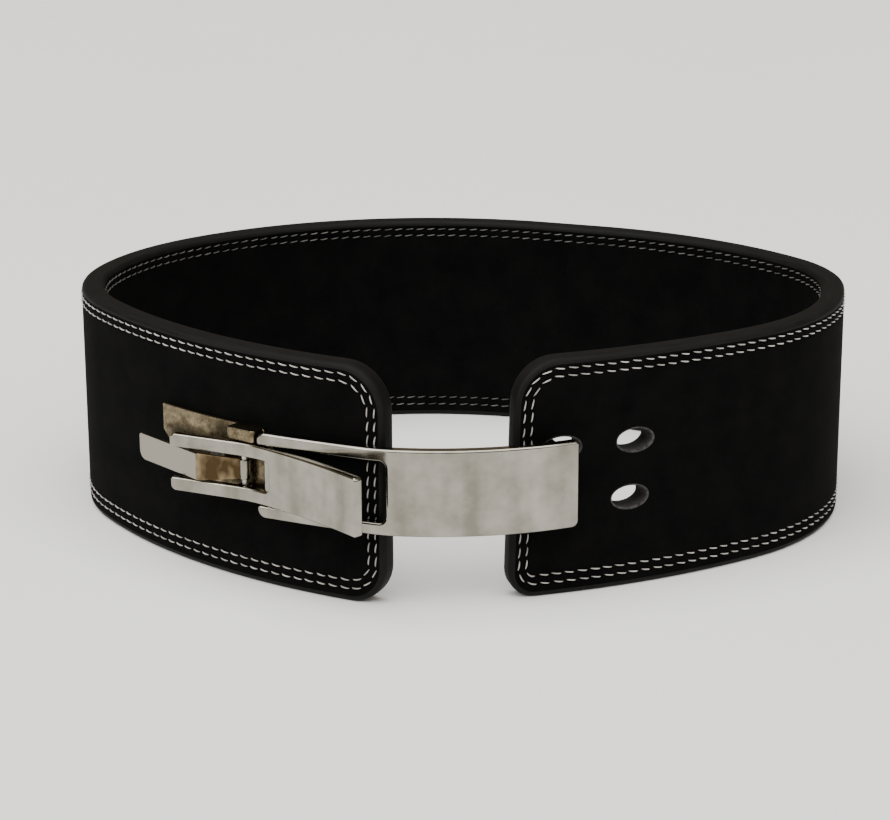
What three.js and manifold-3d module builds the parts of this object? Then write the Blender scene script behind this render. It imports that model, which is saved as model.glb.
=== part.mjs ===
// A weightlifting belt: a thick leather band with a lever clasp, fastened and standing on its lower edge.
// Lengths are millimetres and angles are degrees. The clasp faces -Y and +Z is up.

import * as THREE from 'three';
import { mergeVertices } from 'three/addons/utils/BufferGeometryUtils.js';
import Module from 'manifold-3d';

const wasm = await Module();
wasm.setup();

// Leather band
const strapHeight = 100;
const strapThickness = 10.4;
const strapEdgeRound = 2.4;
const leftTopRadius = 20;
const leftBottomRadius = 16;
const rightTopRadius = 19;
const rightBottomRadius = 9;
const rightEndLean = 1.9;
const leanReach = 60;
const hoopWidth = 342;
const endGap = 51.4;
const endStep = 8.4;
const leftEndBearing = 157.3;

// Holes for the prongs, as ellipses in two pairs
const holeStretch = 1.72; // length over height
const holeRoom = 1.45; // above and below a prong
const holePairSpacing = 24.1;
const holePitch = 32.5;
const lowerHoleShift = 2.1; // towards the end
const prongHoleFromEnd = 20.8;

// The clasp's middle lies a little above the strap's.
const claspRise = 0.6;

// Lever, whose fork points left and whose tab points right
const leverHeight = 24.5;
const leverThickness = 3.8;
const leverBendFromEnd = 64.5;
const leverStandoff = 10.3;
const forkLength = 30;
const forkLean = 11.1;
const forkSlotHeight = 13.2;
const forkSlotPastBend = 18.5;
const forkTipRadius = 2.4;
const slotCornerRadius = 2;
const leverBendRadius = 55;
const leverBendTurn = 16;
const tabLength = 56.3;
const tabTurn = 10.5;

// Pivots, as upright pins behind the lever's face
const pinDiameter = 2.6;
const pivotDepth = 4.3;
const hookPivotPastBend = 16;
const basePivotPastBend = 3;
const pinInset = 1.2;
const knuckleWall = 1.5;

// Hook plate, whose two arms reach round the lever
const plateHeight = 36;
const plateThickness = 5;
const plateCornerRadius = 2.5;
const plateEndStandoff = 11.5;
const plateMargin = 4.1;
const armReach = 5.2;
const armProud = 3.2;
const armLean = 5.4;
const armCornerRadius = 5;
const armLength = 48.7;
const armTurn = 4;
const shoulderRadius = 51;
const shoulderTurn = 15.6;
const windowLength = 58.1;
const windowCornerRadius = 3;
const prongDiameter = 6.5;
const prongProud = 1.2;

// Base plate on the strap, with an ear above the lever
const baseRise = 17.7; // above the clasp's middle
const baseDrop = 13.2; // below it
const baseThickness = 2;
const baseFarEnd = 113.9;
const baseCutSize = 19.5;
const earWidth = 14;
const earMargin = 0.8;
const earInset = 0.4;
const screwDiameter = 5;
const screwHeadDiameter = 9;
const screwHeadHeight = 1.2;
const screwsFromEnd = [79, 101];

// Tongue, folded back to the base pivot
const tongueHeight = 11.4;
const tongueThickness = 1.5;
const tongueLength = 41.3;
const tongueBearing = 49.3;
const tongueFoldFromEnd = 78.7;
const tongueFoldStandoff = 15.8;
const tongueFoldRadius = 2;
const tongueCornerRadius = 4;
const tongueRootHeight = 8.4;
const tongueRootWall = 0.6;

// Fits
const seatGap = 0.35;
const pinClearance = 0.3;
const sideClearance = 0.6;

// Fineness of the facets
const strapStep = 14;
const metalStep = 4;
const stepTurn = 5;
const roundSegments = 3;
const cornerSegments = 5;
const endCornerSteps = 7;
const pinSides = 20;
const holeSides = 28;
const searchStep = 0.25;
const mergeTolerance = 1e-4;

const leather = new THREE.MeshStandardMaterial({ color: 0x0b0b0b, roughness: 0.95, metalness: 0 });
const nickel = new THREE.MeshStandardMaterial({ color: 0xb9b2a6, roughness: 0.12, metalness: 1 });
const steel = new THREE.MeshStandardMaterial({ color: 0x8f8a82, roughness: 0.3, metalness: 1 });

const midHeight = strapHeight / 2;
const claspHeight = midHeight + claspRise;
const radians = THREE.MathUtils.degToRad;

// The hoop's arcs from the left end round the back to the right end. Radii are shares of hoopWidth.
// A row with a fit has a straight before its arc, whose length closes the hoop on the two ends.
const hoopArcs = [
  { stretch: 'left front', radius: 0.77, turn: 37.29 },
  { stretch: 'left shoulder', radius: 0.2656, turn: 45.58 },
  { stretch: 'left side', radius: 0.3679, turn: 31.41 },
  { stretch: 'left back', radius: 0.493, turn: 63.8 },
  { stretch: 'right back', radius: 0.547, turn: 36.21, fit: 'back' },
  { stretch: 'right shoulder', radius: 0.2254, turn: 41.57 },
  { stretch: 'right side', radius: 0.316, turn: 46.11, fit: 'side' },
  { stretch: 'right front', radius: 0.9074, turn: 21.48 },
];

// Plan paths

// One leg turns right by a positive turn and left by a negative one; a leg with no radius is straight.
function legEnd(from, leg) {
  if (!leg.radius) {
    return {
      x: from.x + leg.length * Math.cos(from.bearing),
      y: from.y + leg.length * Math.sin(from.bearing),
      bearing: from.bearing,
    };
  }
  const side = Math.sign(leg.turn);
  const bearing = from.bearing - radians(leg.turn);
  return {
    x: from.x + side * leg.radius * (Math.sin(from.bearing) - Math.sin(bearing)),
    y: from.y - side * leg.radius * (Math.cos(from.bearing) - Math.cos(bearing)),
    bearing,
  };
}

function legLength(leg) {
  return leg.radius ? leg.radius * Math.abs(radians(leg.turn)) : leg.length;
}

function partOfLeg(leg, share) {
  return leg.radius ? { radius: leg.radius, turn: leg.turn * share } : { length: leg.length * share };
}

function makePath(start, legs) {
  const pieces = [];
  let from = start;
  let distance = 0;
  for (const leg of legs) {
    pieces.push({ from, leg, distance });
    from = legEnd(from, leg);
    distance += legLength(leg);
  }
  return { pieces, length: distance, end: from };
}

// A point of a path, which runs on straight past either end.
function pointOn(path, distance) {
  if (distance < 0) return legEnd(path.pieces[0].from, { length: distance });
  if (distance > path.length) return legEnd(path.end, { length: distance - path.length });
  const piece = path.pieces.findLast((candidate) => candidate.distance <= distance);
  return legEnd(piece.from, partOfLeg(piece.leg, (distance - piece.distance) / legLength(piece.leg)));
}

// Distances along a path at which its facets meet, with every leg's ends among them.
function stationsOf(path, longestStep) {
  const distances = [0];
  for (const { leg, distance } of path.pieces) {
    const length = legLength(leg);
    const turnSteps = leg.radius ? Math.abs(leg.turn) / stepTurn : 1;
    const steps = Math.max(1, Math.ceil(Math.max(length / longestStep, turnSteps)));
    for (let step = 1; step <= steps; step += 1) distances.push(distance + (length * step) / steps);
  }
  return distances;
}

// Moves a plan point sideways: to the left of its bearing when the offset is positive.
function sideways(point, offset) {
  return {
    x: point.x - offset * Math.sin(point.bearing),
    y: point.y + offset * Math.cos(point.bearing),
    bearing: point.bearing,
  };
}

// The hoop of the strap's outer face

const leftEnd = { x: 0, y: 0, bearing: radians(leftEndBearing) };
const rightEnd = { x: endGap, y: endStep };

function hoopLegs(backFlat, sideFlat) {
  const flats = { back: backFlat, side: sideFlat };
  return hoopArcs.flatMap(({ radius, turn, fit }) => {
    const arc = { radius: radius * hoopWidth, turn };
    return fit ? [{ length: flats[fit] }, arc] : [arc];
  });
}

// The two straights that bring the hoop's end to the right end of the strap.
function closingFlats() {
  const open = makePath(leftEnd, hoopLegs(0, 0));
  const bearings = open.pieces.filter(({ leg }) => !leg.radius).map(({ from }) => from.bearing);
  const [back, side] = bearings.map((bearing) => ({ x: Math.cos(bearing), y: Math.sin(bearing) }));
  const missing = { x: rightEnd.x - open.end.x, y: rightEnd.y - open.end.y };
  const area = back.x * side.y - back.y * side.x;
  return {
    backFlat: (missing.x * side.y - missing.y * side.x) / area,
    sideFlat: (back.x * missing.y - back.y * missing.x) / area,
  };
}

const { backFlat, sideFlat } = closingFlats();
const hoop = makePath(leftEnd, hoopLegs(backFlat, sideFlat));

// A place over the strap's outer face, its distance taken from the left or the right end.
function overLeft(fromEnd, standoff) {
  return sideways(pointOn(hoop, fromEnd), standoff);
}

function overRight(fromEnd, standoff) {
  return sideways(pointOn(hoop, hoop.length - fromEnd), standoff);
}

// The same place near the left end, with its bearing read from left to right.
function overLeftRightward(fromEnd, standoff) {
  const { x, y, bearing } = overLeft(fromEnd, standoff);
  return { x, y, bearing: bearing - Math.PI };
}

// How far from the left end a plan point lies along the strap's outer face.
function fromLeftEnd(point) {
  const reach = 2 * baseFarEnd;
  let nearest = 0;
  let least = Infinity;
  for (let distance = 0; distance <= reach; distance += searchStep) {
    const face = pointOn(hoop, distance);
    const apart = Math.hypot(face.x - point.x, face.y - point.y);
    if (apart < least) [nearest, least] = [distance, apart];
  }
  return nearest;
}

// Solids

function solidOf(geometry) {
  const bare = geometry.index ? geometry.toNonIndexed() : geometry.clone();
  bare.deleteAttribute('normal');
  bare.deleteAttribute('uv');
  const merged = mergeVertices(bare, mergeTolerance);
  return new wasm.Manifold(new wasm.Mesh({
    numProp: 3,
    vertProperties: new Float32Array(merged.attributes.position.array),
    triVerts: new Uint32Array(merged.index.array),
  }));
}

function namedMesh(name, solid, material) {
  const cut = solid.getMesh();
  const geometry = new THREE.BufferGeometry();
  geometry.setAttribute('position', new THREE.BufferAttribute(cut.vertProperties, 3));
  geometry.setIndex(new THREE.BufferAttribute(cut.triVerts, 1));
  geometry.computeVertexNormals();
  const mesh = new THREE.Mesh(geometry, material);
  mesh.name = name;
  return mesh;
}

// An upright slab between a front line and a back line, both read from left to right.
function slabBetween(front, back, bottom, top) {
  const corners = [...front, ...back.toReversed()].map(({ x, y }) => new THREE.Vector2(x, y));
  const geometry = new THREE.ExtrudeGeometry(new THREE.Shape(corners), {
    depth: top - bottom,
    bevelEnabled: false,
  });
  return solidOf(geometry.translate(0, 0, bottom));
}

// An upright slab whose front follows a plan path from left to right.
function slabAlong(path, thickness, height) {
  const front = stationsOf(path, metalStep).map((distance) => pointOn(path, distance));
  const back = front.map((point) => sideways(point, thickness));
  return slabBetween(front, back, claspHeight - height / 2, claspHeight + height / 2);
}

// An upright post on a plan point.
function postAt(point, diameter, bottom, top) {
  const geometry = new THREE.CylinderGeometry(diameter / 2, diameter / 2, top - bottom, pinSides);
  geometry.rotateX(Math.PI / 2);
  return solidOf(geometry.translate(point.x, point.y, (top + bottom) / 2));
}

// A side-view outline pushed through level, from one depth to another. Its x runs along the bearing,
// its y is the height, and depth grows to the right of the bearing.
function pushedThrough(outline, place, nearDepth, farDepth) {
  const geometry = new THREE.ExtrudeGeometry(outline, {
    depth: farDepth - nearDepth,
    bevelEnabled: false,
    curveSegments: cornerSegments,
  });
  geometry.translate(0, 0, nearDepth);
  const along = new THREE.Vector3(Math.cos(place.bearing), Math.sin(place.bearing), 0);
  const up = new THREE.Vector3(0, 0, 1);
  const through = new THREE.Vector3().crossVectors(along, up);
  const turned = new THREE.Matrix4().makeBasis(along, up, through);
  turned.setPosition(place.x, place.y, 0);
  return solidOf(geometry.applyMatrix4(turned));
}

function roundedRectangle(left, right, bottom, top, radius) {
  const outline = new THREE.Shape();
  outline.moveTo(left + radius, bottom);
  outline.lineTo(right - radius, bottom);
  outline.absarc(right - radius, bottom + radius, radius, -Math.PI / 2, 0);
  outline.lineTo(right, top - radius);
  outline.absarc(right - radius, top - radius, radius, 0, Math.PI / 2);
  outline.lineTo(left + radius, top);
  outline.absarc(left + radius, top - radius, radius, Math.PI / 2, Math.PI);
  outline.lineTo(left, bottom + radius);
  outline.absarc(left + radius, bottom + radius, radius, Math.PI, 1.5 * Math.PI);
  return outline;
}

function circle(height, diameter) {
  return new THREE.Shape().absarc(0, height, diameter / 2, 0, 2 * Math.PI);
}

// Strap

const longestCorner = Math.max(leftTopRadius, leftBottomRadius, rightTopRadius, rightBottomRadius);

// Stations of one end, where the side-view corners and the dressed edge round the band off.
function endRounding() {
  const stations = [];
  for (let step = 0; step < endCornerSteps; step += 1) {
    const share = step / endCornerSteps;
    stations.push(longestCorner * (1 - Math.cos(Math.asin(share))));
  }
  for (let step = 1; step <= roundSegments; step += 1) {
    stations.push((strapEdgeRound * step) / roundSegments);
  }
  return stations.sort((near, far) => near - far);
}

// How far a rounded corner holds a side of the band back at one distance from its end.
function cornerDrop(radius, fromEnd) {
  const inside = Math.max(0, radius - fromEnd);
  return radius - Math.sqrt(radius * radius - inside * inside);
}

// The band's section at one distance, as points of depth behind the outer face and height. Its corners
// are rounded less where the dressed edge thins the band towards its end.
function bandSection(fromLeft) {
  const fromRight = hoop.length - fromLeft;
  const top = strapHeight - cornerDrop(leftTopRadius, fromLeft) - cornerDrop(rightTopRadius, fromRight);
  const bottom = cornerDrop(leftBottomRadius, fromLeft) + cornerDrop(rightBottomRadius, fromRight);
  const halfHeight = (top - bottom) / 2;
  const halfThickness = strapThickness / 2 - cornerDrop(strapEdgeRound, Math.min(fromLeft, fromRight));
  const round = (strapEdgeRound * halfThickness) / (strapThickness / 2);
  const points = [];
  for (const [quarter, depthSide, heightSide] of [[0, 1, 1], [1, -1, 1], [2, -1, -1], [3, 1, -1]]) {
    for (let step = 0; step <= roundSegments; step += 1) {
      const angle = (Math.PI / 2) * (quarter + step / roundSegments);
      points.push({
        depth: strapThickness / 2 + depthSide * (halfThickness - round) + round * Math.cos(angle),
        height: bottom + halfHeight + heightSide * (halfHeight - round) + round * Math.sin(angle),
      });
    }
  }
  return points;
}

// The right end is cut on a lean, which dies out along the band.
function leanAt(fromRight, height) {
  const share = Math.max(0, 1 - fromRight / leanReach);
  return share * Math.tan(radians(rightEndLean)) * (midHeight - height);
}

function bandSolid() {
  const ends = endRounding();
  const farEnds = ends.map((distance) => hoop.length - distance);
  const between = stationsOf(hoop, strapStep).filter(
    (at) => at > longestCorner + 1 && at < hoop.length - longestCorner - 1,
  );
  const corners = [longestCorner, hoop.length - longestCorner];
  const stations = [...ends, ...corners, ...between, ...farEnds].sort((near, far) => near - far);
  const positions = [];
  for (const distance of stations) {
    for (const { depth, height } of bandSection(distance)) {
      const face = pointOn(hoop, distance + leanAt(hoop.length - distance, height));
      const { x, y } = sideways(face, -depth);
      positions.push(x, y, height);
    }
  }
  const count = bandSection(0).length;
  const faces = [];
  for (let ring = 0; ring + 1 < stations.length; ring += 1) {
    for (let corner = 0; corner < count; corner += 1) {
      const here = ring * count + corner;
      const next = ring * count + ((corner + 1) % count);
      faces.push(here, here + count, next, next, here + count, next + count);
    }
  }
  const last = (stations.length - 1) * count;
  for (let corner = 1; corner + 1 < count; corner += 1) {
    faces.push(0, corner, corner + 1);
    faces.push(last, last + corner + 1, last + corner);
  }
  const geometry = new THREE.BufferGeometry();
  geometry.setAttribute('position', new THREE.Float32BufferAttribute(positions, 3));
  geometry.setIndex(faces);
  return solidOf(geometry);
}

const holeHeight = prongDiameter + 2 * holeRoom;
const holeLength = holeHeight * holeStretch;
const upperHole = claspHeight + holePairSpacing / 2;
const lowerHole = claspHeight - holePairSpacing / 2;
const strapHoles = [0, holePitch].flatMap((pitch) => [
  { fromEnd: prongHoleFromEnd + pitch, height: upperHole },
  { fromEnd: prongHoleFromEnd + pitch - lowerHoleShift, height: lowerHole },
]);

function holeCutter({ fromEnd, height }) {
  const corners = Array.from({ length: holeSides }, (_, side) => {
    const angle = (2 * Math.PI * side) / holeSides;
    return new THREE.Vector2((holeLength / 2) * Math.cos(angle), height + (holeHeight / 2) * Math.sin(angle));
  });
  const place = overRight(fromEnd, 0);
  return pushedThrough(new THREE.Shape(corners), place, -strapThickness, 2 * strapThickness);
}

function screwCutter(fromEnd) {
  const hole = circle(claspHeight, screwDiameter + 2 * pinClearance);
  return pushedThrough(hole, overLeft(fromEnd, 0), -2 * strapThickness, 2 * strapThickness);
}

function makeStrap() {
  let band = bandSolid();
  for (const hole of strapHoles) band = band.subtract(holeCutter(hole));
  for (const fromEnd of screwsFromEnd) band = band.subtract(screwCutter(fromEnd));
  return namedMesh('belt_strap', band, leather);
}

// Lever

const leverBend = overLeftRightward(leverBendFromEnd, leverStandoff);
leverBend.bearing += radians(forkLean);
const forkTip = { ...legEnd(leverBend, { length: -forkLength }), bearing: leverBend.bearing };
const leverPath = makePath(forkTip, [
  { length: forkLength },
  { radius: leverBendRadius, turn: leverBendTurn },
  { radius: tabLength / radians(tabTurn), turn: tabTurn },
]);

// The two pivots, placed behind the lever's face.
const hookPivot = sideways(pointOn(leverPath, forkLength + hookPivotPastBend), pivotDepth);
const basePivot = sideways(pointOn(leverPath, forkLength + basePivotPastBend), pivotDepth);
const boreDiameter = pinDiameter + 2 * pinClearance;
const knuckleDiameter = boreDiameter + 2 * knuckleWall;

// A post centred on the clasp's middle height.
function middlePost(place, diameter, height) {
  return postAt(place, diameter, claspHeight - height / 2, claspHeight + height / 2);
}

// A window centred on the middle height, between two distances along a bearing.
function middleWindow(place, from, to, height, cornerRadius) {
  const outline = roundedRectangle(from, to, claspHeight - height / 2, claspHeight + height / 2, cornerRadius);
  return pushedThrough(outline, place, -hoopWidth / 4, hoopWidth / 4);
}

function makeLever() {
  const slotEnd = pointOn(leverPath, forkLength + forkSlotPastBend);
  const tips = middleWindow(forkTip, 0, hoopWidth, leverHeight, forkTipRadius);
  const slot = middleWindow(slotEnd, -2 * forkLength, 0, forkSlotHeight, slotCornerRadius);
  const lever = slabAlong(leverPath, leverThickness, leverHeight)
    .intersect(tips)
    .add(middlePost(basePivot, knuckleDiameter, leverHeight))
    .subtract(slot)
    .add(middlePost(hookPivot, knuckleDiameter, leverHeight))
    .subtract(middlePost(basePivot, boreDiameter, 2 * leverHeight))
    .subtract(middlePost(hookPivot, boreDiameter, 2 * leverHeight));
  return namedMesh('lever', lever, nickel);
}

// Hook plate

// The leg that leaves a point on its bearing and arrives at a target.
function arcTo(from, target) {
  const chord = Math.hypot(target.x - from.x, target.y - from.y);
  const swing = Math.atan2(target.y - from.y, target.x - from.x) - from.bearing;
  return { radius: chord / (2 * Math.sin(Math.abs(swing))), turn: -2 * THREE.MathUtils.radToDeg(swing) };
}

// A prong bears on the end of its hole that lies nearer the strap's end, but for the seat's gap.
const prongReach = prongDiameter / 2 + seatGap;
const holeFocus = Math.sqrt(holeLength * holeLength - holeHeight * holeHeight) / 2;
const prongShift = holeFocus * Math.sqrt(1 - ((2 * prongReach) / holeHeight) ** 2);
const prongFromEnd = prongHoleFromEnd - prongShift;

function makeHookPath() {
  const bearing = overLeftRightward(fromLeftEnd(hookPivot), 0).bearing + radians(armLean);
  const overPivot = sideways({ ...hookPivot, bearing }, -armProud);
  const start = { ...legEnd(overPivot, { length: -armReach }), bearing };
  const arm = { radius: armLength / radians(armTurn), turn: -armTurn };
  const shoulder = { radius: shoulderRadius, turn: -shoulderTurn };
  const bend = makePath(start, [arm, shoulder]).end;
  const plateEnd = overRight(prongFromEnd + prongDiameter / 2 + plateMargin, plateEndStandoff);
  return makePath(start, [arm, shoulder, arcTo(bend, plateEnd)]);
}

const hookPath = makeHookPath();

function makeProng(height) {
  const place = overRight(prongFromEnd, 0);
  const outside = -(plateEndStandoff - plateThickness / 2);
  const inside = strapThickness + prongProud;
  return pushedThrough(circle(height, prongDiameter), place, outside, inside);
}

function makeHookPlate() {
  const start = hookPath.pieces[0].from;
  const windowHeight = leverHeight + 2 * sideClearance;
  const windowEnd = pointOn(hookPath, windowLength);
  const pinReach = plateHeight - 2 * pinInset + 2 * pinClearance;
  let plate = slabAlong(hookPath, plateThickness, plateHeight)
    .add(middlePost(hookPivot, knuckleDiameter, plateHeight))
    .intersect(middleWindow(start, 0, hoopWidth, plateHeight, armCornerRadius))
    .intersect(middleWindow(hookPath.end, -hoopWidth, 0, plateHeight, plateCornerRadius))
    .subtract(middleWindow(windowEnd, -2 * windowLength, 0, windowHeight, windowCornerRadius))
    .subtract(middlePost(hookPivot, boreDiameter, pinReach));
  for (const height of [upperHole, lowerHole]) plate = plate.add(makeProng(height));
  return namedMesh('hook_plate', plate, nickel);
}

// Base plate

const pivotFromEnd = fromLeftEnd(basePivot);
const baseNearEnd = pivotFromEnd - earWidth / 2 - earMargin;

function baseSlab() {
  const steps = Math.ceil((baseFarEnd - baseNearEnd) / metalStep);
  const distances = Array.from({ length: steps + 1 }, (_, step) => {
    return baseFarEnd - ((baseFarEnd - baseNearEnd) * step) / steps;
  });
  const front = distances.map((distance) => overLeft(distance, seatGap + baseThickness));
  const back = distances.map((distance) => overLeft(distance, seatGap));
  return slabBetween(front, back, claspHeight - baseDrop, claspHeight + baseRise);
}

// The lower left corner of the plate is cut off on a slant.
function baseCornerCut() {
  const bottom = claspHeight - baseDrop;
  const corner = new THREE.Shape([
    new THREE.Vector2(-baseCutSize, bottom + 2 * baseCutSize),
    new THREE.Vector2(-baseCutSize, bottom - baseCutSize),
    new THREE.Vector2(2 * baseCutSize, bottom - baseCutSize),
  ]);
  const place = overLeftRightward(baseFarEnd, 0);
  return pushedThrough(corner, place, -strapThickness, strapThickness);
}

// The ear stands out from the plate and holds the base pivot's pin.
function baseEar() {
  const foot = pointOn(hoop, pivotFromEnd);
  const pivotStandoff = Math.hypot(basePivot.x - foot.x, basePivot.y - foot.y);
  const sides = [pivotFromEnd + earWidth / 2, pivotFromEnd - earWidth / 2];
  const back = sides.map((fromEnd) => overLeft(fromEnd, seatGap + baseThickness / 2));
  const front = sides.map((fromEnd) => overLeft(fromEnd, pivotStandoff + knuckleDiameter / 2));
  return slabBetween(front, back, claspHeight + leverHeight / 2 + earInset, claspHeight + baseRise);
}

function makeBasePlate() {
  const pinReach = 2 * (baseRise - pinInset + pinClearance);
  let base = baseSlab()
    .subtract(baseCornerCut())
    .add(baseEar())
    .subtract(middlePost(basePivot, boreDiameter, pinReach));
  for (const fromEnd of screwsFromEnd) base = base.subtract(screwCutter(fromEnd));
  return namedMesh('base_plate', base, nickel);
}

// A screw with a flat head on the plate and one on the strap's inner face.
function makeScrew(name, fromEnd) {
  const place = overLeft(fromEnd, 0);
  const onPlate = -(2 * seatGap + baseThickness);
  const inside = strapThickness + seatGap;
  const head = circle(claspHeight, screwHeadDiameter);
  const shank = circle(claspHeight, screwDiameter);
  const screw = pushedThrough(shank, place, onPlate - screwHeadHeight / 2, inside + screwHeadHeight / 2)
    .add(pushedThrough(head, place, onPlate - screwHeadHeight, onPlate))
    .add(pushedThrough(head, place, inside, inside + screwHeadHeight));
  return namedMesh(name, screw, steel);
}

// Tongue

const tongueFold = overLeft(tongueFoldFromEnd, tongueFoldStandoff);

function makeTongue() {
  const bearing = -radians(tongueBearing);
  const start = { ...legEnd({ ...tongueFold, bearing }, { length: -tongueLength }), bearing };
  const root = sideways({ ...basePivot, bearing: 0 }, -tongueThickness / 2);
  const backBearing = Math.atan2(root.y - tongueFold.y, root.x - tongueFold.x);
  const backLength = Math.hypot(root.x - tongueFold.x, root.y - tongueFold.y);
  const turn = THREE.MathUtils.radToDeg(bearing - backBearing);
  const foldReach = tongueFoldRadius * Math.tan(radians(Math.abs(turn)) / 2);
  const path = makePath(start, [
    { length: tongueLength - foldReach },
    { radius: tongueFoldRadius, turn },
    { length: backLength - foldReach },
  ]);
  const rootDiameter = boreDiameter + 2 * tongueRootWall;
  let tongue = slabAlong(path, tongueThickness, tongueHeight).intersect(
    middleWindow(start, 0, hoopWidth, tongueHeight, tongueCornerRadius),
  );
  for (const side of [-1, 1]) tongue = tongue.subtract(tongueTaper(path.pieces[2].from, backLength, side));
  tongue = tongue
    .add(middlePost(basePivot, rootDiameter, tongueRootHeight))
    .subtract(middlePost(basePivot, boreDiameter, 2 * tongueHeight));
  return namedMesh('tongue', tongue, nickel);
}

// The fold's back run narrows from the tongue's height to its root's.
function tongueTaper(place, length, side) {
  const wide = tongueHeight / 2;
  const narrow = tongueRootHeight / 2;
  const wedge = new THREE.Shape([
    new THREE.Vector2(0, claspHeight + side * wide),
    new THREE.Vector2(length, claspHeight + side * narrow),
    new THREE.Vector2(2 * length, claspHeight + side * narrow),
    new THREE.Vector2(2 * length, claspHeight + side * 2 * wide),
    new THREE.Vector2(0, claspHeight + side * 2 * wide),
  ]);
  return pushedThrough(wedge, place, -2 * knuckleDiameter, knuckleDiameter);
}

// Pins

// A pin between two heights above and below the clasp's middle.
function makePin(name, place, below, above) {
  const pin = postAt(place, pinDiameter, claspHeight - below + pinInset, claspHeight + above - pinInset);
  return namedMesh(name, pin, steel);
}

// Assembly: the belt stands on its lower edge, centred over the origin.

const belt = new THREE.Group();
belt.add(makeStrap(), makeHookPlate(), makeLever(), makeBasePlate(), makeTongue());
belt.add(makePin('hook_pin', hookPivot, plateHeight / 2, plateHeight / 2));
belt.add(makePin('base_pin', basePivot, leverHeight / 2, baseRise));
screwsFromEnd.forEach((fromEnd, index) => belt.add(makeScrew(`base_screw_${index + 1}`, fromEnd)));

const middle = new THREE.Box3().setFromObject(belt, true).getCenter(new THREE.Vector3());
belt.position.set(-middle.x, -middle.y, 0);

const part = new THREE.Group();
part.add(belt);

export default part;
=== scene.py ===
"""A weightlifting belt: a thick leather band with a lever clasp, fastened and standing on its lower edge."""

import math
import random

import bpy
import numpy as np
from mathutils import Matrix, Vector
from mathutils.geometry import delaunay_2d_cdt


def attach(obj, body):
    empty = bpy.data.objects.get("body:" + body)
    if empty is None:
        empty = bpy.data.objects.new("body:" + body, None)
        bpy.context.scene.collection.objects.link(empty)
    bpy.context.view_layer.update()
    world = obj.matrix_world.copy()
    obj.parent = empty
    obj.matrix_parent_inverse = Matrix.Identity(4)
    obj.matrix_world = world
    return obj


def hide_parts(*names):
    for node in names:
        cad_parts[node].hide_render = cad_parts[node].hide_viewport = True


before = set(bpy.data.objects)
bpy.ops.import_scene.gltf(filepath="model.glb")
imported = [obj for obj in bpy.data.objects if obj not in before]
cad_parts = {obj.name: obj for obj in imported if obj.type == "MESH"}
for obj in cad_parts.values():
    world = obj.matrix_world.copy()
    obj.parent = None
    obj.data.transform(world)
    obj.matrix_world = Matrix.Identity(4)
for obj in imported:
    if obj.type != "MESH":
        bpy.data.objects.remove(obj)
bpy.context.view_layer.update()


# Camera
# The photograph was taken from about a metre in front of the clasp and well above the belt, with a
# long lens that looks a little down.

mm = 0.001
photo_width = 890
focal_length_px = 2568.5
camera_place = Vector((-8.67, -1102.22, 368.84)) * mm
camera_down = 16.374
camera_left = -0.043
camera_roll = -0.202

camera_data = bpy.data.cameras.new("camera")
camera_data.sensor_width = 36
camera_data.lens = camera_data.sensor_width * focal_length_px / photo_width
camera = bpy.data.objects.new("camera", camera_data)
camera.location = camera_place
camera.rotation_euler = (
    Matrix.Rotation(math.radians(camera_left), 3, "Z")
    @ Matrix.Rotation(math.radians(90 - camera_down), 3, "X")
    @ Matrix.Rotation(math.radians(camera_roll), 3, "Z")
).to_euler()
bpy.context.scene.collection.objects.link(camera)
bpy.context.scene.camera = camera


# Leather band
# The real band is two layers of black suede over thick sole leather, glued and stitched into one strip,
# its cut edge rounded, dyed and rubbed smooth. It has sprung into an open oval from use.

hoop_width = 342
band_height = 100 * mm
band_thickness = 10.4 * mm
band_edge_radius = 2.4 * mm
right_end_lean = 1.66 * mm
band_step = 4 * mm
hoop_start = (-32.305 * mm, -129.307 * mm)
hoop_heading = 157.3
hoop_legs = [
    (0.77 * hoop_width, 37.29),
    (0.2656 * hoop_width, 45.58),
    (0.3679 * hoop_width, 31.41),
    (0.493 * hoop_width, 63.8),
    (27.005, 0),
    (0.547 * hoop_width, 36.21),
    (0.2254 * hoop_width, 41.57),
    (9.078, 0),
    (0.316 * hoop_width, 46.11),
    (0.9074 * hoop_width, 21.48),
]


def plan_path(start, heading, legs):
    """A plan line of legs, each a radius and a right turn in degrees, or a length and no turn.
    Radii and lengths are in millimetres."""
    starts, rows = [], []
    x, y = start
    heading = math.radians(heading)
    distance = 0
    for size, turn in legs:
        length = size * mm * (abs(math.radians(turn)) if turn else 1)
        curl = -math.radians(turn) / length
        starts.append(distance)
        rows.append((x, y, heading, curl))
        x, y, heading = along_arc(length, x, y, heading, curl)
        distance += length

    def place(along):
        leg = np.clip(np.searchsorted(starts, along, side="right") - 1, 0, None)
        return along_arc(along - np.array(starts)[leg], *np.array(rows)[leg].T)

    return place, distance


def along_arc(distance, x, y, heading, curl):
    chord = distance * np.sinc(curl * distance / (2 * math.pi))
    middle_heading = heading + curl * distance / 2
    return (
        x + chord * np.cos(middle_heading),
        y + chord * np.sin(middle_heading),
        heading + curl * distance,
    )


def lay_along(place, behind):
    """Lays flat points (along, height, depth) on a plan line. Depth is left of it when behind is 1."""

    def lay(flat, directions):
        x, y, heading = place(flat[:, 0])
        ahead = np.column_stack((np.cos(heading), np.sin(heading), 0 * heading))
        back = behind * np.column_stack((-np.sin(heading), np.cos(heading), 0 * heading))
        up = np.array((0, 0, 1))
        points = np.column_stack((x, y, flat[:, 1])) + back * flat[:, 2:]
        turned = ahead * directions[:, :1] + up * directions[:, 1:2] + back * directions[:, 2:]
        return points, turned

    return lay


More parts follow.
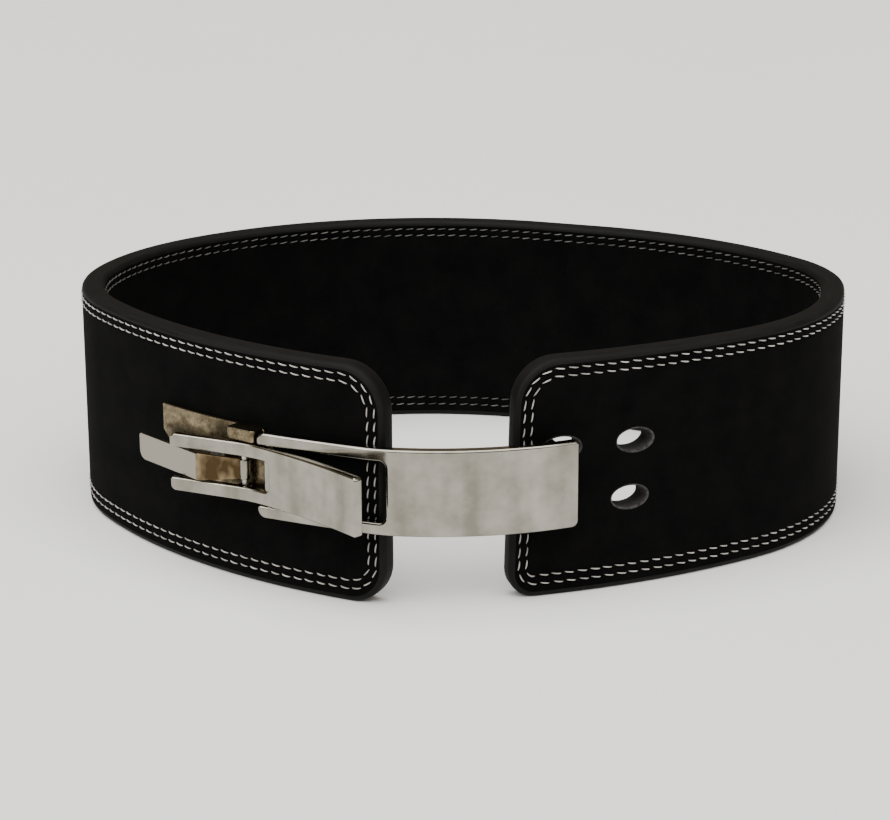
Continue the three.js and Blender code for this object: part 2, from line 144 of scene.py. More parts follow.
def rounded_outline(corners, step, arc_step=10):
    """Points and outward normals of an outline through rounded corners (along, height, radius).
    The outline runs anticlockwise round a plate and clockwise round a hole."""
    arcs = []
    for index, (x, y, radius) in enumerate(corners):
        here = np.array((x, y))
        come = here - np.array(corners[index - 1][:2])
        go = np.array(corners[(index + 1) % len(corners)][:2]) - here
        come, go = come / np.linalg.norm(come), go / np.linalg.norm(go)
        turn = math.atan2(come[0] * go[1] - come[1] * go[0], come @ go)
        side = math.copysign(1, turn)
        outward = np.array((come[1], -come[0]))
        centre = here - come * radius * math.tan(abs(turn) / 2) - side * radius * outward
        steps = max(2, math.ceil(abs(math.degrees(turn)) / arc_step))
        angles = np.linspace(0, turn, steps + 1)
        normals = np.column_stack((
            outward[0] * np.cos(angles) - outward[1] * np.sin(angles),
            outward[0] * np.sin(angles) + outward[1] * np.cos(angles),
        ))
        arcs.append((centre + side * radius * normals, normals))
    points, outwards = [], []
    for index, (arc, normals) in enumerate(arcs):
        following = arcs[(index + 1) % len(arcs)][0][0]
        gap = np.linalg.norm(following - arc[-1])
        shares = np.linspace(0, 1, max(1, math.ceil(gap / step)) + 1)[1:-1, None]
        points += [arc, arc[-1] + (following - arc[-1]) * shares]
        outwards += [normals, np.repeat(normals[-1:], len(shares), axis=0)]
    return np.vstack(points), np.vstack(outwards)


def inside(points, loop):
    """Which points lie inside a closed loop."""
    x, y = points[:, :1], points[:, 1:]
    ax, ay = loop.T
    bx, by = np.roll(loop, -1, axis=0).T
    spans = (ay > y) != (by > y)
    rise = np.where(by == ay, 1, by - ay)
    crossings = spans & (x < ax + (y - ay) * (bx - ax) / rise)
    return crossings.sum(axis=1) % 2 == 1


def sheet_triangles(loops, step):
    """Triangles over a grid of points between an outline, which comes first, and its holes."""
    low, high = loops[0].min(axis=0), loops[0].max(axis=0)
    rows = [np.arange(a + step / 2, b, step) for a, b in zip(low, high)]
    grid = np.array(np.meshgrid(*rows)).reshape(2, -1).T
    border = np.vstack(loops)
    grid = grid[inside(grid, loops[0])]
    for hole in loops[1:]:
        grid = grid[~inside(grid, hole)]
    near = np.array([((border - point) ** 2).sum(axis=1).min() for point in grid])
    grid = grid[near > (0.6 * step) ** 2] if len(grid) else grid
    edges, first = [], 0
    for loop in loops:
        edges += [(first + k, first + (k + 1) % len(loop)) for k in range(len(loop))]
        first += len(loop)
    points = [Vector(point) for point in np.vstack((border, grid))]
    made = delaunay_2d_cdt(points, edges, [], 0, 1e-9)
    source = np.array([origin[0] for origin in made[3]])
    triangles = source[np.array(made[2])]
    corners = np.vstack((border, grid))[triangles]
    middles = corners.mean(axis=1)
    kept = inside(middles, loops[0])
    for hole in loops[1:]:
        kept &= ~inside(middles, hole)
    return grid, triangles[kept]


def quarter_round(radius, finish=0, steps=4):
    """Rows (inset, depth, finish) round a front edge, from the face out to the side."""
    angles = np.linspace(0, math.pi / 2, steps + 1)
    return [(radius * (1 - math.sin(a)), radius * (1 - math.cos(a)), finish) for a in angles]


def both_sides(front, thickness, wall=0):
    """Completes an edge's front rows with a side wall and the same rows on the back."""
    back = [(inset, thickness - depth) for inset, depth, _ in reversed(front)]
    kinds = [kind for _, _, kind in reversed(front[:-1])] + [0]
    front = front[:-1] + [(front[-1][0], front[-1][1], wall)]
    return front + [(inset, depth, kind) for (inset, depth), kind in zip(back, kinds)]


def cut_plate(lay, loops, step, mirrored=False):
    """A plate cut to loops. Each has an outline and its edge's rows (inset, depth, finish), front to back."""
    flat, ways, faces, finish, fronts, backs, count = [], [], [], [], [], [], 0
    for (points, outward), rows in loops:
        around = len(points)
        here = np.arange(around)
        after = (here + 1) % around
        slopes = np.diff([(np.mean(inset), depth) for inset, depth, _ in rows], axis=0)
        across = np.column_stack((slopes[:, 1], slopes[:, 0]))
        across /= np.linalg.norm(across, axis=1, keepdims=True)
        mean = across[1:] + across[:-1]
        mean = np.vstack(((0, -1), mean / np.linalg.norm(mean, axis=1, keepdims=True), (0, 1)))
        for (inset, depth, _), (out, deep) in zip(rows, mean):
            flat.append(np.column_stack((points - outward * inset, np.full(around, depth))))
            ways.append(np.column_stack((outward * out, np.full(around, deep))))
        for row, (_, _, kind) in enumerate(rows[:-1]):
            near, far = count + row * around, count + (row + 1) * around
            faces += np.column_stack((near + here, far + here, far + after, near + after)).tolist()
            finish += [kind] * around
        fronts.append(count + here)
        backs.append(count + (len(rows) - 1) * around + here)
        count += len(rows) * around
    sheet_loops = [points - outward * rows[0][0] for (points, outward), rows in loops]
    grid, triangles = sheet_triangles(sheet_loops, step)
    rows = loops[0][1]
    for borders, (_, depth, _), deep in ((fronts, rows[0], -1), (backs, rows[-1], 1)):
        flat.append(np.column_stack((grid, np.full(len(grid), depth))))
        ways.append(np.tile((0, 0, deep), (len(grid), 1)))
        index = np.concatenate(borders + [count + np.arange(len(grid))])
        faces += index[triangles][:, ::-deep].tolist()
        finish += [0] * len(triangles)
        count += len(grid)
    flat = np.vstack(flat)
    points, normals = lay(flat, np.vstack(ways).astype(float))
    if mirrored:
        faces = [face[::-1] for face in faces]
    return {"points": points, "normals": normals, "flat": flat, "faces": faces, "finish": finish}


def make_piece(name, shapes, materials, slot, *nodes):
    """Joins shapes into one piece that stands for the CAD nodes."""
    points = np.vstack([shape["points"] for shape in shapes])
    faces, first = [], 0
    for shape in shapes:
        faces += [[first + k for k in face] for face in shape["faces"]]
        first += len(shape["points"])
    mesh = bpy.data.meshes.new(name)
    mesh.from_pydata(points.tolist(), [], faces)
    for material in materials:
        mesh.materials.append(material)
    finish = np.concatenate([shape["finish"] for shape in shapes]).astype(int)
    mesh.polygons.foreach_set("material_index", finish)
    pattern = np.vstack([shape["flat"] for shape in shapes]).astype(np.float32)
    flat = mesh.attributes.new("flat", "FLOAT_VECTOR", "POINT")
    flat.data.foreach_set("vector", pattern.ravel())
    mesh.shade_smooth()
    mesh.normals_split_custom_set_from_vertices(np.vstack([shape["normals"] for shape in shapes]).tolist())
    piece = bpy.data.objects.new(name, mesh)
    bpy.context.scene.collection.objects.link(piece)
    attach(piece, "root")
    if nodes:
        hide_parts(*nodes)


def new_material(name, **values):
    """A Principled material with plain values on its sockets, and a function that adds nodes to it."""
    material = bpy.data.materials.new(name)
    material.use_nodes = True
    nodes, links = material.node_tree.nodes, material.node_tree.links
    shader = nodes["Principled BSDF"]
    for socket, value in values.items():
        shader.inputs[socket.replace("_", " ")].default_value = value

    def add(kind, inputs=None, **settings):
        node = nodes.new("ShaderNode" + kind)
        for key, value in settings.items():
            setattr(node, key, value)
        for key, value in (inputs or {}).items():
            if isinstance(value, bpy.types.NodeSocket):
                links.new(value, node.inputs[key])
            else:
                node.inputs[key].default_value = value
        return node

    def feed(socket, value):
        links.new(value, shader.inputs[socket])

    return material, add, feed


def grain(add, where, size, detail=3, roughness=0.6, stretch=(1, 1, 1)):
    """Noise with features of a size in metres. A stretch above 1 makes them finer along that axis."""
    scaled = add("Mapping", {"Vector": where, "Scale": stretch}).outputs[0]
    noise = {"Vector": scaled, "Scale": 1 / size, "Detail": detail, "Roughness": roughness}
    return add("TexNoise", noise).outputs[0]


def ramp(add, value, low, high, dark, light):
    """Blends two colours or numbers as a value goes from low to high."""
    share = add("MapRange", {"Value": value, "From Min": low, "From Max": high}).outputs[0]
    if isinstance(dark, tuple):
        return add("Mix", {"Factor": share, "A": dark, "B": light}, data_type="RGBA").outputs["Result"]
    return add("MapRange", {"Value": share, "To Min": dark, "To Max": light}).outputs[0]


def roughen(add, feed, relief, strength, distance):
    """Raises and sinks a surface by a pattern."""
    bump = add("Bump", {"Height": relief, "Strength": strength, "Distance": distance})
    feed("Normal", bump.outputs[0])


suede, add, feed = new_material("suede", Roughness=1.0, Specular_IOR_Level=0.06)
pattern = add("Attribute", attribute_name="flat").outputs["Vector"]
cloudy = grain(add, pattern, 14 * mm, detail=5)
deep_black = (0.0014, 0.0014, 0.0015, 1)
faded_black = (0.0034, 0.0033, 0.0032, 1)
feed("Base Color", ramp(add, cloudy, 0.3, 0.7, deep_black, faded_black))
nap = grain(add, pattern, 0.7 * mm, detail=6, roughness=0.75)
roughen(add, feed, nap, 0.5, 0.3 * mm)

dressed_edge, add, feed = new_material("dressed_edge", Specular_IOR_Level=0.16)
pattern = add("Attribute", attribute_name="flat").outputs["Vector"]
streaks = grain(add, pattern, 1.0, detail=4, stretch=(60, 60, 900))
dye_black = (0.0012, 0.0012, 0.0013, 1)
rubbed_black = (0.006, 0.0058, 0.0055, 1)
feed("Base Color", ramp(add, streaks, 0.35, 0.7, dye_black, rubbed_black))
feed("Roughness", ramp(add, streaks, 0.3, 0.7, 0.55, 0.8))
roughen(add, feed, streaks, 0.5, 0.3 * mm)

hoop, hoop_length = plan_path(hoop_start, hoop_heading, hoop_legs)
band_corners = [
    (0, 0, 16 * mm),
    (hoop_length + right_end_lean, 0, 11 * mm),
    (hoop_length - right_end_lean, band_height, 19 * mm),
    (0, band_height, 20 * mm),
]
band_outline = rounded_outline(band_corners, band_step)
suede_finish, edge_finish, wall_finish, rim_finish = range(4)

# Insets from the top and the ends, and from the bottom, of the inner sheet and of each row of stitches.
sheet_insets = (9.5 * mm, 10.8 * mm)
stitch_insets = [(4.05 * mm, 5.8 * mm), (7.2 * mm, 9.4 * mm)]


def inset_along(outward, inset, bottom_inset):
    """An inset at every point of the outline, which goes over to the bottom's where the edge faces down."""
    return inset + (bottom_inset - inset) * np.clip(-outward[:, 1:], 0, 1)


# The stitches lie in grooves. A groove's section goes across it, as shares of its half width and depth.
groove_depth = 0.45 * mm
groove_half_width = 0.9 * mm
groove_section = [(1, 0.3), (0.55, 0.8), (0, 1), (-0.55, 0.8), (-1, 0.3)]
face_rows = [(inset_along(band_outline[1], *sheet_insets), 0, suede_finish)]
for insets in reversed(stitch_insets):
    row = inset_along(band_outline[1], *insets)
    for across, share in groove_section:
        face_rows.append((row + across * groove_half_width, share * groove_depth, suede_finish))
band_rows = both_sides(face_rows + quarter_round(band_edge_radius, edge_finish), band_thickness, edge_finish)

# The covered holes have plain rims, and the rims of the open holes are worn grey.
clasp_height = 50.6 * mm
hole_length = 16.0 * mm
hole_height = 9.2 * mm
hole_rise = 12.05 * mm
hole_rim_radius = 0.8 * mm
covered_rim_reach = 1 * mm
open_rim_reach = 2.6 * mm
covered_rim = both_sides(
    [(covered_rim_reach, 0, suede_finish)] + quarter_round(hole_rim_radius, wall_finish),
    band_thickness,
    wall_finish,
)
open_rim = both_sides(
    [(open_rim_reach, 0, suede_finish)] + quarter_round(hole_rim_radius, rim_finish),
    band_thickness,
    wall_finish,
)
holes_from_right_end = [
    (20.8 * mm, hole_rise, covered_rim),
    (18.7 * mm, -hole_rise, covered_rim),
    (53.3 * mm, hole_rise, open_rim),
    (51.2 * mm, -hole_rise, open_rim),
]


def ellipse_outline(middle, height, length, breadth, sides=48):
    """An oval hole, clockwise."""
    angles = np.linspace(2 * math.pi, 0, sides, endpoint=False)
    around = np.column_stack((length / 2 * np.cos(angles), breadth / 2 * np.sin(angles)))
    outward = -around / np.array((length**2, breadth**2))
    return around + (middle, height), outward / np.linalg.norm(outward, axis=1, keepdims=True)


band_loops = [(band_outline, band_rows)]
for from_end, rise, rim in holes_from_right_end:
    hole = ellipse_outline(hoop_length - from_end, clasp_height + rise, hole_length, hole_height)
    band_loops.append((hole, rim))
band_lay = lay_along(hoop, -1)
band_shape = cut_plate(band_lay, band_loops, band_step, mirrored=True)

hole_wall, add, feed = new_material("hole_wall", Roughness=0.95, Specular_IOR_Level=0.2)
pattern = add("Attribute", attribute_name="flat").outputs["Vector"]
fibres = grain(add, pattern, 0.8 * mm, detail=6, stretch=(1, 1, 3))
wall_dark = (0.012, 0.012, 0.012, 1)
wall_light = (0.06, 0.058, 0.056, 1)
feed("Base Color", ramp(add, fibres, 0.3, 0.7, wall_dark, wall_light))
roughen(add, feed, fibres, 0.6, 0.3 * mm)

worn_rim, add, feed = new_material("worn_rim", Roughness=0.8, Specular_IOR_Level=0.25)
pattern = add("Attribute", attribute_name="flat").outputs["Vector"]
rubbing = grain(add, pattern, 1.6 * mm, detail=5)
rim_dark = (0.010, 0.010, 0.010, 1)
rim_light = (0.075, 0.073, 0.070, 1)
feed("Base Color", ramp(add, rubbing, 0.35, 0.7, rim_dark, rim_light))
band_finishes = [suede, dressed_edge, hole_wall, worn_rim]
make_piece("belt_band", [band_shape], band_finishes, "leather", "belt_strap")


# Stitching
# Two rows of thick off-white nylon thread are sewn right through the band along its whole border,
# and show on both faces, each stitch pulled a little into the suede. The inner rows are the same
# thread in a darker copy of its colour, painted shade for the inside of the hoop.

stitch_pitch = 5.65 * mm
stitch_length = 4.3 * mm
thread_radius = 0.28 * mm
thread_slant = 0.3 * mm
thread_rise = 0.2 * mm
thread_sides = 7
stitch_rings = 7
pitch_spread = 0.04
length_spread = 0.06
stitch_tip = 0.02
stitch_line_step = 1 * mm
random.seed(7)


def loop_places(loop):
    """The points of a closed outline as a function of distance round it, and its length."""
    closed = np.vstack((loop, loop[:1]))
    lengths = np.concatenate(([0], np.cumsum(np.linalg.norm(np.diff(closed, axis=0), axis=1))))

    def place(distance):
        distance = distance % lengths[-1]
        return np.column_stack([np.interp(distance, lengths, closed[:, axis]) for axis in (0, 1)])

    return place, lengths[-1]


def tube_faces(first, rings, sides):
    """Faces of a closed tube whose points start at one index, ring after ring."""
    faces = []
    for ring in range(rings - 1):
        a, b = first + ring * sides, first + (ring + 1) * sides
        faces += [[a + k, a + (k + 1) % sides, b + (k + 1) % sides, b + k] for k in range(sides)]
    last = first + (rings - 1) * sides
    faces.append([first + k for k in range(sides)][::-1])
    faces.append([last + k for k in range(sides)])
    return faces


def stitch_rows(face_depth, side):
    """All the stitches of one face of the band. The side is 1 for the outer face and -1 for the inner."""
    flat, ways, faces, count = [], [], [], 0
    angles = np.linspace(0, 2 * math.pi, thread_sides, endpoint=False)
    shares = np.linspace(-1, 1, stitch_rings)
    taper = np.abs(shares) ** 3
    fat = thread_radius * np.sqrt(1 + stitch_tip - taper)
    height = thread_rise - (groove_depth + thread_radius) * taper
    for insets in stitch_insets:
        points, outward = rounded_outline(band_corners, stitch_line_step, 5)
        place, length = loop_places(points - outward * inset_along(outward, *insets))
        stitches = round(length / stitch_pitch)
        for stitch in range(stitches):
            wander = random.uniform(-pitch_spread, pitch_spread)
            middle = (stitch + 0.5 + wander) * length / stitches
            reach = stitch_length / 2 * random.uniform(1 - length_spread, 1 + length_spread)
            line = place(middle + reach * shares)
            step = place(middle + reach * shares + 0.1 * mm) - line
            ahead = step / np.linalg.norm(step, axis=1, keepdims=True)
            sideways = np.column_stack((-ahead[:, 1], ahead[:, 0]))
            line = line + thread_slant * shares[:, None] * sideways
            for ring in range(stitch_rings):
                out = np.cos(angles)[:, None] * sideways[ring]
                depth = face_depth - side * (height[ring] + fat[ring] * np.sin(angles))
                flat.append(np.column_stack((line[ring] + fat[ring] * out, depth)))
                ways.append(np.column_stack((out, -side * np.sin(angles))))
            faces += [face[::-side] for face in tube_faces(count, stitch_rings, thread_sides)]
            count += stitch_rings * thread_sides
    flat = np.vstack(flat)
    points, normals = band_lay(flat, np.vstack(ways))
    return {"points": points, "normals": normals, "flat": flat, "faces": faces, "finish": [0] * len(faces)}


threads = []
# The second tone pair is the off-white thread darkened: painted shade for the stitches inside the hoop.
for name, dull, clean in (("off_white_thread", 0.26, 0.54), ("shade_painted_inner_thread", 0.03, 0.13)):
    thread, add, feed = new_material(name, Roughness=0.7, Specular_IOR_Level=0.35, Sheen_Weight=0.2)
    pattern = add("Attribute", attribute_name="flat").outputs["Vector"]
    soiling = grain(add, pattern, 9 * mm, detail=4)
    soiled_tone = (dull, dull * 0.96, dull * 0.88, 1)
    clean_tone = (clean, clean * 0.97, clean * 0.91, 1)
    feed("Base Color", ramp(add, soiling, 0.35, 0.65, soiled_tone, clean_tone))
    waves = {"Vector": pattern, "Scale": 900.0, "Distortion": 1.0}
    twist = add("TexWave", waves, bands_direction="DIAGONAL").outputs[1]
    roughen(add, feed, twist, 0.5, 0.1 * mm)
    threads.append(thread)
outer_thread, inner_thread = threads
make_piece("stitches_outside", [stitch_rows(0, 1)], [outer_thread], "leather")
make_piece("stitches_inside", [stitch_rows(band_thickness, -1)], [inner_thread], "leather")


# Hook plate
# A curved plate of nickel-plated steel. Its two arms reach round the lever to the hook pin, and two
# prongs on its back go through a pair of holes in the band.

plate_height = 36 * mm
plate_thickness = 5 * mm
plate_edge_radius = 1.1 * mm
arm_tip_radius = 3.5 * mm
arm_inner_radius = 1.15 * mm
window_length, window_height, window_corner = 58.1 * mm, 25.7 * mm, 3 * mm
outline_step = 2 * mm
steel_step = 2.5 * mm
plate_start = (-84.347 * mm, -111.766 * mm)
plate_legs = [(697.576, -4), (51, -15.6), (124.115, -34.605)]
plate_path, plate_length = plan_path(plate_start, -27.852, plate_legs)
low, high = clasp_height - plate_height / 2, clasp_height + plate_height / 2
arm_low, arm_high = clasp_height - window_height / 2, clasp_height + window_height / 2
plate_outline = rounded_outline([
    (0, low, arm_tip_radius),
    (plate_length, low, 2.8 * mm),
    (plate_length, high, 1.6 * mm),
    (0, high, arm_tip_radius),
    (0, arm_high, arm_inner_radius),
    (window_length, arm_high, window_corner),
    (window_length, arm_low, window_corner),
    (0, arm_low, arm_inner_radius),
], outline_step)
plate_rows = both_sides(quarter_round(plate_edge_radius), plate_thickness)
plate_shape = cut_plate(lay_along(plate_path, 1), [(plate_outline, plate_rows)], steel_step)

nickel, add, feed = new_material("nickel_plate", Metallic=1.0)
pattern = add("Attribute", attribute_name="flat").outputs["Vector"]
haze = grain(add, pattern, 12 * mm, detail=6)
# Soft bands along the plate are a painted reflection of the room, added to the random plating haze in the
# base colour.
reflection_bands = grain(add, pattern, 1.0, detail=2, stretch=(70, 6, 6))
haze_and_reflection_tone = add("Math", {0: haze, 1: reflection_bands}, operation="ADD").outputs[0]
nickel_dark = (0.20, 0.19, 0.155, 1)
nickel_light = (0.36, 0.345, 0.30, 1)
feed("Base Color", ramp(add, haze_and_reflection_tone, 0.75, 1.25, nickel_dark, nickel_light))
feed("Roughness", ramp(add, haze, 0.3, 0.7, 0.1, 0.2))
ripple = grain(add, pattern, 18 * mm, detail=1)
roughen(add, feed, ripple, 0.25, 1 * mm)


def post(middle, rows, sides=40):
    """A round post about an upright line, from rows (radius, height) that run upwards."""
    rows = np.array(rows)
    slopes = np.diff(rows, axis=0)
    across = np.column_stack((slopes[:, 1], -slopes[:, 0]))
    across /= np.linalg.norm(across, axis=1, keepdims=True)
    mean = across[1:] + across[:-1]
    mean = np.vstack(((0, -1), mean / np.linalg.norm(mean, axis=1, keepdims=True), (0, 1)))
    angles = np.linspace(0, 2 * math.pi, sides, endpoint=False)
    ring = np.column_stack((np.cos(angles), np.sin(angles)))
    points, normals = [], []
    for (radius, height), (out, up) in zip(rows, mean):
        points.append(np.column_stack((np.array(middle) + ring * radius, np.full(sides, height))))
        normals.append(np.column_stack((ring * out, np.full(sides, up))))
    points, normals = np.vstack(points), np.vstack(normals)
    faces = tube_faces(0, len(rows), sides)
    return {"points": points, "normals": normals, "flat": points, "faces": faces, "finish": [0] * len(faces)}


def post_rows(radius, low, high, edge):
    """Rows of a plain post with rounded rims."""
    angles = np.linspace(0, math.pi / 2, 4)
    rim = [(radius - edge * (1 - math.sin(a)), edge * (1 - math.cos(a))) for a in angles]
    return [(out, low + rise) for out, rise in rim] + [(out, high - rise) for out, rise in reversed(rim)]


hook_pivot = (-78.254 * mm, -111.366 * mm)
base_pivot = (-89.606 * mm, -103.270 * mm)
knuckle_radius = 3.1 * mm
knuckle_edge = 0.6 * mm
knuckle_inset = 0.4 * mm
hook_knuckles = [
    post(hook_pivot, post_rows(knuckle_radius, arm_high, high - knuckle_inset, knuckle_edge)),
    post(hook_pivot, post_rows(knuckle_radius, low + knuckle_inset, arm_low, knuckle_edge)),
]
# The prongs start inside the plate. Their root and tip are depths behind the band's outer face.
prong_radius = 3.25 * mm
prong_edge = 1 * mm
prong_from_right_end = 16.57 * mm
prong_root, prong_tip = -3 * mm, 11.6 * mm


def prong(height):
    """A round steel prong straight through the band, with a rounded tip."""
    rod = post((0, 0), post_rows(prong_radius, prong_root, prong_tip, prong_edge))
    place = hoop(np.array([hoop_length - prong_from_right_end]))
    x, y, heading = (value[0] for value in place)
    ahead = (math.cos(heading), math.sin(heading), 0)
    back = (math.sin(heading), -math.cos(heading), 0)
    turn = np.array((ahead, (0, 0, 1), back))
    rod["points"] = rod["points"] @ turn + (x, y, height)
    rod["normals"] = rod["normals"] @ turn
    return rod


prongs = [prong(clasp_height + rise) for rise in (-hole_rise, hole_rise)]
make_piece("hook_plate_steel", [plate_shape] + hook_knuckles + prongs, [nickel], "nickel", "hook_plate")


# Lever
# A forked lever of the same plated steel, with a curved tab for the thumb. It turns on the base pin
# and draws the hook pin past it, so that it stays shut.

lever_height = 24.5 * mm
lever_thickness = 3.8 * mm
lever_edge_radius = 0.8 * mm
fork_tip_radius = 2.4 * mm
fork_inner_radius = 1 * mm
tab_corner_radius = 1.6 * mm
slot_length, slot_height, slot_corner = 48.5 * mm, 13.2 * mm, 3 * mm
lever_start = (-121.390 * mm, -92.690 * mm)
lever_legs = [(30, 0), (55, 16), (307.21, 10.5)]
lever_path, lever_length = plan_path(lever_start, -25.633, lever_legs)
low, high = clasp_height - lever_height / 2, clasp_height + lever_height / 2
slot_low, slot_high = clasp_height - slot_height / 2, clasp_height + slot_height / 2
lever_outline = rounded_outline([
    (0, low, fork_tip_radius),
    (lever_length, low, tab_corner_radius),
    (lever_length, high, tab_corner_radius),
    (0, high, fork_tip_radius),
    (0, slot_high, fork_inner_radius),
    (slot_length, slot_high, slot_corner),
    (slot_length, slot_low, slot_corner),
    (0, slot_low, fork_inner_radius),
], outline_step)
lever_rows = both_sides(quarter_round(lever_edge_radius), lever_thickness)
lever_shape = cut_plate(lay_along(lever_path, 1), [(lever_outline, lever_rows)], steel_step)
lever_knuckle_edge = 0.5 * mm
lever_knuckles = [
    post(hook_pivot, post_rows(knuckle_radius, low, high, lever_knuckle_edge)),
    post(base_pivot, post_rows(knuckle_radius, low, slot_low, lever_knuckle_edge)),
    post(base_pivot, post_rows(knuckle_radius, slot_high, high, lever_knuckle_edge)),
]
make_piece("lever_steel", [lever_shape] + lever_knuckles, [nickel], "nickel", "lever")


# Base plate
# A curved plate screwed to the left end of the band, with one corner cut off. Above the lever it
# stands out as an ear, which holds the base pin.

base_rise, base_drop = 17.7 * mm, 13.2 * mm
base_near, base_far, base_cut = 54.45 * mm, 113.9 * mm, 19.5 * mm
base_front, base_thickness = -2.35 * mm, 2 * mm
base_edge_radius = 0.4 * mm
low, high = clasp_height - base_drop, clasp_height + base_rise
base_outline = rounded_outline([
    (base_near, low, 2 * mm),
    (base_far - base_cut, low, 1 * mm),
    (base_far, low + base_cut, 1 * mm),
    (base_far, high, 0.8 * mm),
    (base_near, high, 2 * mm),
], outline_step)
base_rows = [
    (inset, depth + base_front, kind)
    for inset, depth, kind in both_sides(quarter_round(base_edge_radius), base_thickness)
]
base_shape = cut_plate(band_lay, [(base_outline, base_rows)], steel_step, mirrored=True)
ear_gap = 0.4 * mm
ear_edge_radius = 0.5 * mm
ear_step = 1 * mm
ear_sheet_step = 1.5 * mm
ear_corners = [
    (-92.790, -95.605, 0.6),
    (-97.265, -101.381, 1.6),
    (-85.604, -109.929, 1.6),
    (-81.443, -103.924, 0.6),
]


def lay_level(flat, directions):
    """Lays flat points (x, y, depth below the floor) level."""
    return flat * (1, 1, -1), directions * (1, 1, -1)


def ear(bottom, top):
    """A level block with rounded edges between the base plate and the pin."""
    outline = rounded_outline([(x * mm, y * mm, r * mm) for x, y, r in ear_corners], ear_step)
    rows = [
        (inset, depth - top, kind)
        for inset, depth, kind in both_sides(quarter_round(ear_edge_radius), top - bottom)
    ]
    return cut_plate(lay_level, [(outline, rows)], ear_sheet_step)


# The base plate and its ear get brown and gold patches in their colour: a painted reflection of the warm
# room.
reflection_painted_nickel, add, feed = new_material("nickel_with_painted_reflection", Metallic=1.0)
pattern = add("Attribute", attribute_name="flat").outputs["Vector"]
painted_reflection_patches = grain(add, pattern, 5 * mm, detail=6, roughness=0.7)
reflected_room_brown = (0.05, 0.035, 0.017, 1)
reflected_room_gold = (0.24, 0.20, 0.125, 1)
feed("Base Color", ramp(add, painted_reflection_patches, 0.35, 0.65, reflected_room_brown, reflected_room_gold))
feed("Roughness", ramp(add, painted_reflection_patches, 0.3, 0.7, 0.38, 0.2))
base_ear = ear(clasp_height + lever_height / 2 + ear_gap, high)
make_piece("base_plate_steel", [base_shape, base_ear], [reflection_painted_nickel], "nickel", "base_plate")


# Tongue
# A thin strip that lies in the lever's fork, folded back and narrowed to a loop round the base pin.

tongue_thickness = 1.5 * mm
tongue_half_height = 5.7 * mm
root_half_height = 4.2 * mm
root_radius = 2.2 * mm
tongue_edge_radius = 0.3 * mm
tongue_step = 1 * mm
tongue_sheet_step = 2 * mm
fold_end = 41.967 * mm
tongue_start = (-136.378 * mm, -69.442 * mm)
tongue_legs = [(40.573, 0), (2, -39.949), (19.380, 0)]
tongue_path, tongue_length = plan_path(tongue_start, -49.3, tongue_legs)
tongue_low, tongue_high = clasp_height - tongue_half_height, clasp_height + tongue_half_height
root_low, root_high = clasp_height - root_half_height, clasp_height + root_half_height
tongue_outline = rounded_outline([
    (0, tongue_low, 4 * mm),
    (fold_end, tongue_low, 1 * mm),
    (tongue_length, root_low, 0.4 * mm),
    (tongue_length, root_high, 0.4 * mm),
    (fold_end, tongue_high, 1 * mm),
    (0, tongue_high, 1.4 * mm),
], tongue_step)
tongue_rows = both_sides(quarter_round(tongue_edge_radius, steps=3), tongue_thickness)
tongue_lay = lay_along(tongue_path, 1)
tongue_shape = cut_plate(tongue_lay, [(tongue_outline, tongue_rows)], tongue_sheet_step)
tongue_root = post(base_pivot, post_rows(root_radius, root_low, root_high, tongue_edge_radius))

# The run behind the fold is painted golden and brown, a painted reflection of the warm room on the turned
# face.
return_painted_reflection, add, feed = new_material("tongue_return_painted_reflection", Metallic=1.0)
pattern = add("Attribute", attribute_name="flat").outputs["Vector"]
past_fold = add("SeparateXYZ", {"Vector": pattern}).outputs["X"]
streaks = grain(add, pattern, 14 * mm, detail=2, stretch=(1.6, 1, 1))
reflected_brown_on_return = (0.06, 0.04, 0.018, 1)
reflected_gold_on_return = (0.25, 0.19, 0.11, 1)
face_nickel = (0.27, 0.25, 0.21, 1)
return_reflection_tone = ramp(add, streaks, 0.4, 0.6, reflected_brown_on_return, reflected_gold_on_return)
face_end, return_start = fold_end - 2 * mm, fold_end - 1.2 * mm
feed("Base Color", ramp(add, past_fold, face_end, return_start, face_nickel, return_reflection_tone))
feed("Roughness", ramp(add, past_fold, face_end, return_start, 0.22, 0.34))
make_piece("tongue_steel", [tongue_shape, tongue_root], [return_painted_reflection], "nickel", "tongue")


# Pins and screws
# Plain satin steel. The hook pin runs through the hook plate's arms and the lever, the base pin through
# the lever, the tongue and the ear, and the screws clamp the base plate through the band.

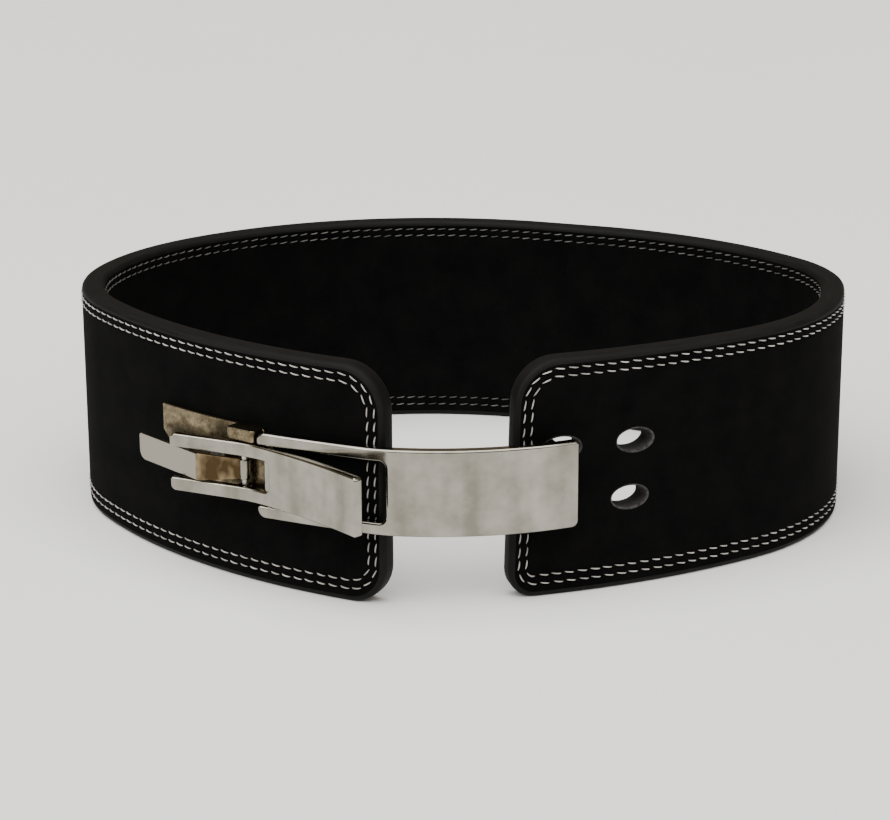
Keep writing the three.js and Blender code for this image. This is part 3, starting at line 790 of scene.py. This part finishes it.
satin, add, feed = new_material("satin_steel", Metallic=1.0, Roughness=0.32)
pattern = add("TexCoord").outputs["Object"]
brushing = grain(add, pattern, 1.5 * mm, detail=4)
steel_dark = (0.42, 0.40, 0.37, 1)
steel_light = (0.55, 0.53, 0.49, 1)
feed("Base Color", ramp(add, brushing, 0.3, 0.7, steel_dark, steel_light))
for name in ("hook_pin", "base_pin", "base_screw_1", "base_screw_2"):
    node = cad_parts[name]
    node.data.materials.clear()
    node.data.materials.append(satin)


# Studio
# The belt stands on a plain pale floor that reaches past the view. A broad lamp overhead and two soft
# panels in front light it, and the warm room shows in the clasp.

floor_reach = 6
floor_corners = [(-1, -1), (1, -1), (1, 1), (-1, 1)]
floor_mesh = bpy.data.meshes.new("floor")
floor_mesh.from_pydata([(x * floor_reach, y * floor_reach, 0) for x, y in floor_corners], [], [range(4)])
floor = bpy.data.objects.new("floor", floor_mesh)
bpy.context.scene.collection.objects.link(floor)
paper, add, feed = new_material("pale_floor", Roughness=0.9, Specular_IOR_Level=0.1)
pattern = add("TexCoord").outputs["Object"]
mottle = grain(add, pattern, 0.4)
paper_dark = (0.90, 0.90, 0.895, 1)
paper_light = (0.92, 0.92, 0.915, 1)
feed("Base Color", ramp(add, mottle, 0.3, 0.7, paper_dark, paper_light))
floor_mesh.materials.append(paper)

world = bpy.data.worlds.new("studio")
world.use_nodes = True
background = world.node_tree.nodes["Background"]
background.inputs["Color"].default_value = (1.0, 0.80, 0.56, 1)
background.inputs["Strength"].default_value = 0.22
bpy.context.scene.world = world
overhead_light = bpy.data.lights.new("overhead_light", "SUN")
overhead_light.energy = 4.6
overhead_light.angle = math.radians(80)
overhead = bpy.data.objects.new("overhead_light", overhead_light)
overhead.rotation_euler = (math.radians(18), math.radians(-8), 0)
bpy.context.scene.collection.objects.link(overhead)
panel_width = 1.0
panel_target = Vector((0, 0, 0.05))
panels = [
    ("left_panel", (-1.5, -0.9, 1.0), 12),
    ("right_panel", (1.4, -1.0, 1.1), 8),
]
for name, place, power in panels:
    light = bpy.data.lights.new(name, "AREA")
    light.size = panel_width
    light.energy = power
    panel = bpy.data.objects.new(name, light)
    panel.location = place
    panel.rotation_euler = (panel_target - Vector(place)).to_track_quat("-Z", "Y").to_euler()
    bpy.context.scene.collection.objects.link(panel)
